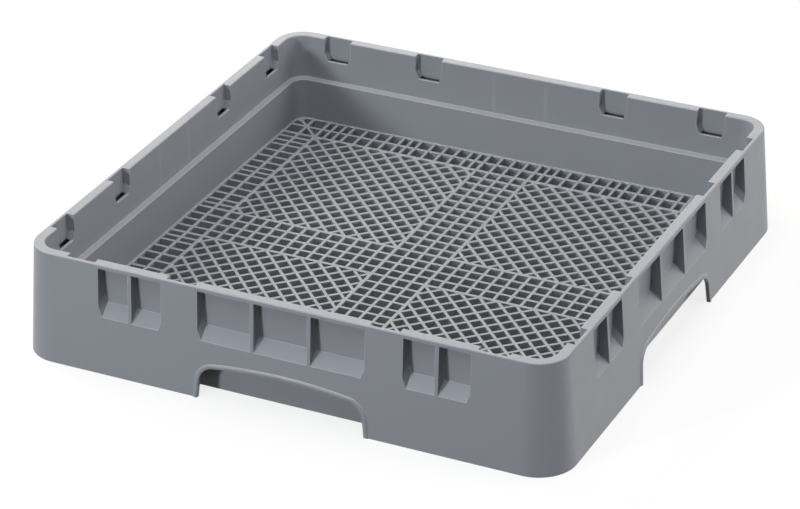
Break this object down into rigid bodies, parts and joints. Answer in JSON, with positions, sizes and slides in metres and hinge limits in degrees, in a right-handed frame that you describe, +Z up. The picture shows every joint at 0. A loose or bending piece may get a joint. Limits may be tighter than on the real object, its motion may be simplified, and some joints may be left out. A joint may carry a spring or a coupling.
{
  "type": "dishwasher cutlery basket",
  "caption": "Square open basket for loose cutlery in a commercial dishwasher, moulded in one piece with a mesh floor, a hollow double wall, a notched rim and a hand-hold in each side.",
  "frame": {"origin": "centre of the footprint, on the surface that the basket stands on", "axes": "+Z up through the open top; +X and +Y square to two neighbouring walls, which are alike"},
  "size_m": [0.5, 0.5, 0.1],
  "materials": {
    "grey_plastic": "satin grey moulded polypropylene"
  },
  "bodies": {
    "root": {"basket": "grey_plastic"}
  },
  "joints": []
}
